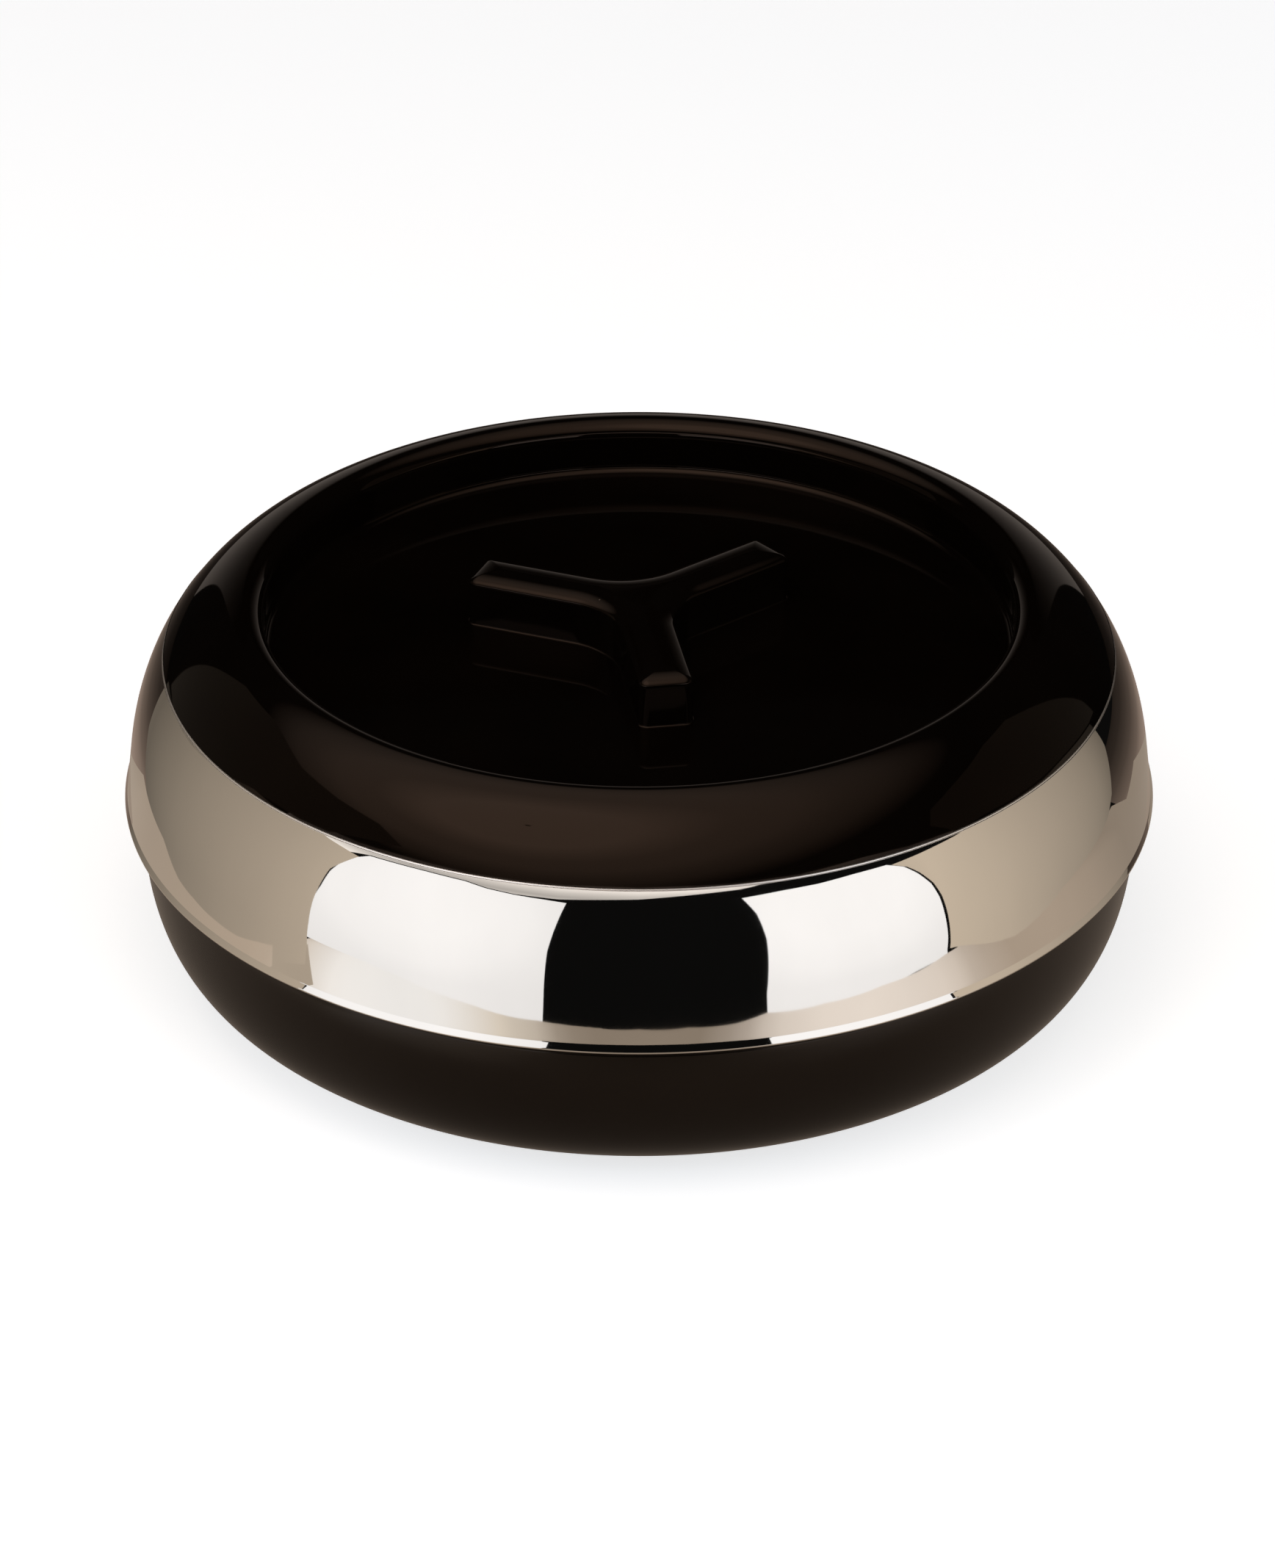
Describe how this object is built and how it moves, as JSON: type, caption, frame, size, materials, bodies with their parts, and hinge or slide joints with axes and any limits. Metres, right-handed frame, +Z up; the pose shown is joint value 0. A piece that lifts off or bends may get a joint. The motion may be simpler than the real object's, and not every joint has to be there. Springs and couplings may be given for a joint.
{
  "type": "insulated casserole",
  "caption": "Round insulated casserole that keeps flat breads warm: a foam-filled base with a steel bowl, and a domed lift-off lid with a steel band and a handle sunk in its top.",
  "frame": {"origin": "middle of the base, on the surface that the foot pads stand on", "axes": "+Z up along the axis of the bowl and the lid; -Y is the side seen from the front; the handle's arms point 39, 159 and 279 degrees round from +X"},
  "size_m": [0.27, 0.27, 0.1045],
  "materials": {
    "gloss_black_plastic": "gloss",
    "satin_black_plastic": "satin",
    "mirror_steel": "polished",
    "satin_steel": "satin",
    "fastener_steel": "satin",
    "pad_rubber": "matte",
    "seal_silicone": "satin",
    "insulation_foam": "matte"
  },
  "bodies": {
    "base": {"base_shell": "satin_black_plastic", "base_fill_plug": "satin_black_plastic", "base_foam": "insulation_foam", "inner_bowl": "satin_steel", "base_rim_ring": "satin_black_plastic", "foot_pad_1": "pad_rubber", "foot_pad_2": "pad_rubber", "foot_pad_3": "pad_rubber", "foot_pad_4": "pad_rubber"},
    "lid": {"lid_shell": "gloss_black_plastic", "steel_band": "mirror_steel", "lid_handle": "gloss_black_plastic", "handle_screws": "fastener_steel", "handle_washers": "fastener_steel", "lid_fill_plug": "satin_black_plastic", "lid_foam": "insulation_foam", "lid_liner_pan": "satin_steel", "lid_closing_ring": "satin_black_plastic", "lid_seal": "seal_silicone"}
  },
  "joints": [
    {"name": "lid_lift", "type": "slide", "parent": "base", "child": "lid", "axis": [0, 0, 1], "range_m": [0, 0.1]}
  ]
}
